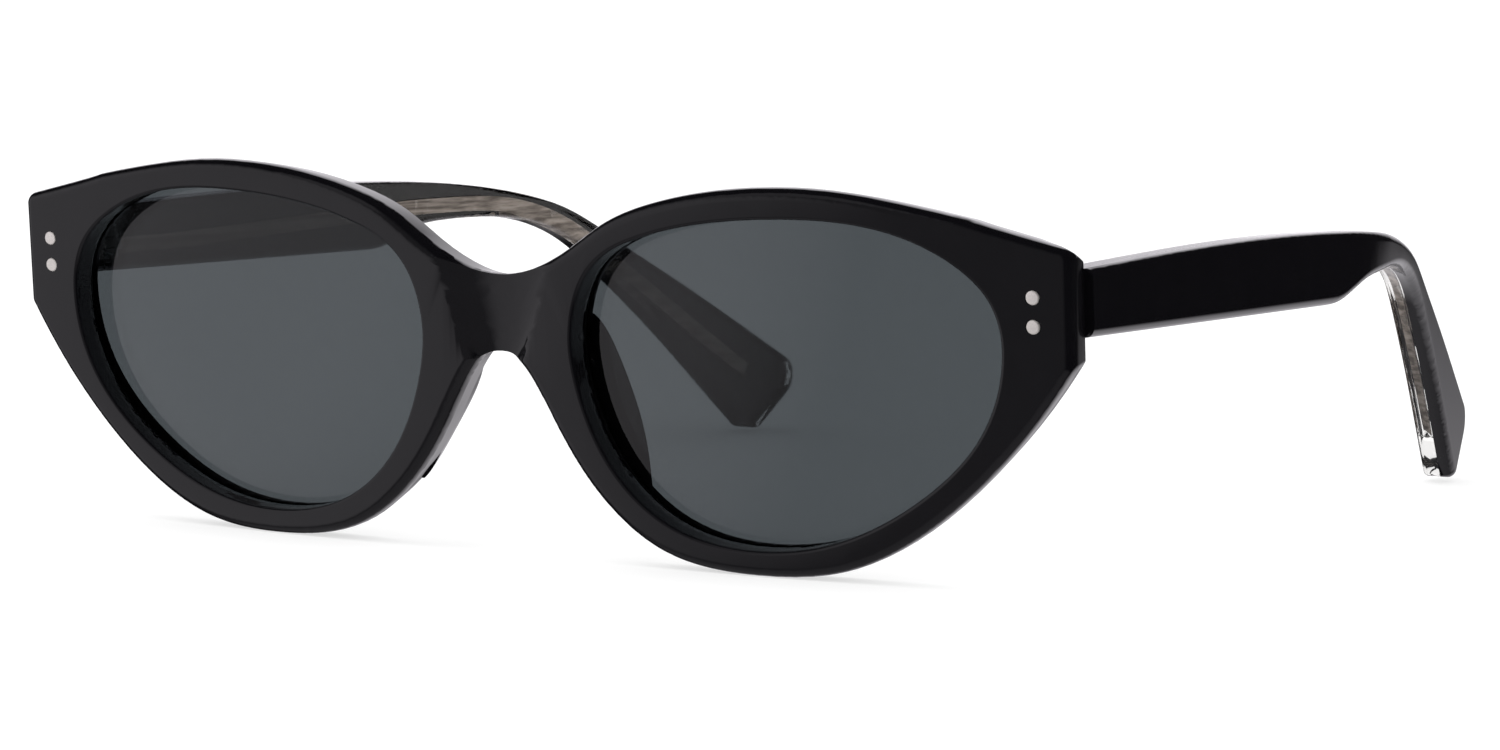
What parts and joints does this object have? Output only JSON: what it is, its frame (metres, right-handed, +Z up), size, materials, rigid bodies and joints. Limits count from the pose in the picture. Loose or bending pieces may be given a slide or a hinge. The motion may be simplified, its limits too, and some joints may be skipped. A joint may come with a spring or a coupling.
{
  "type": "cat eye sunglasses",
  "caption": "Cat eye sunglasses with a thick glossy front, tinted lenses, rivets at the ends and folding temples in black over clear acetate.",
  "frame": {"origin": "on the ground under the centre of the open glasses", "axes": "+X to the wearer's left, the front faces -Y, the open temples run back along +Y, +Z up"},
  "size_m": [0.1356, 0.1502, 0.042],
  "materials": {
    "black_acetate": "polished black cellulose acetate",
    "tinted_lens": "polished grey-green sun lens",
    "pad_acetate": "polished black acetate",
    "rivet_metal": "polished nickel silver",
    "hinge_metal": "satin nickel silver",
    "screw_metal": "steel",
    "crystal_acetate": "polished clear acetate",
    "wire_metal": "drawn nickel silver wire"
  },
  "bodies": {
    "front": {"front_frame": "black_acetate", "left_lens": "tinted_lens", "left_nose_pad": "pad_acetate", "left_front_rivets": "rivet_metal", "left_front_hinge": "hinge_metal", "right_lens": "tinted_lens", "right_nose_pad": "pad_acetate", "right_front_rivets": "rivet_metal", "right_front_hinge": "hinge_metal"},
    "left_temple": {"left_temple_hinge": "hinge_metal", "left_hinge_screw": "screw_metal", "left_temple_outer": "black_acetate", "left_temple_inner": "crystal_acetate", "left_core_wire": "wire_metal"},
    "right_temple": {"right_temple_hinge": "hinge_metal", "right_hinge_screw": "screw_metal", "right_temple_outer": "black_acetate", "right_temple_inner": "crystal_acetate", "right_core_wire": "wire_metal"}
  },
  "joints": [
    {"name": "left_fold", "type": "hinge", "parent": "front", "child": "left_temple", "pos_m": [0.0616, -0.06101, 0.03104], "axis": [0, -0.1045, 0.9945], "range_deg": [0, 86]},
    {"name": "right_fold", "type": "hinge", "parent": "front", "child": "right_temple", "pos_m": [-0.0616, -0.06101, 0.03104], "axis": [0, 0.1045, -0.9945], "range_deg": [0, 78]}
  ]
}
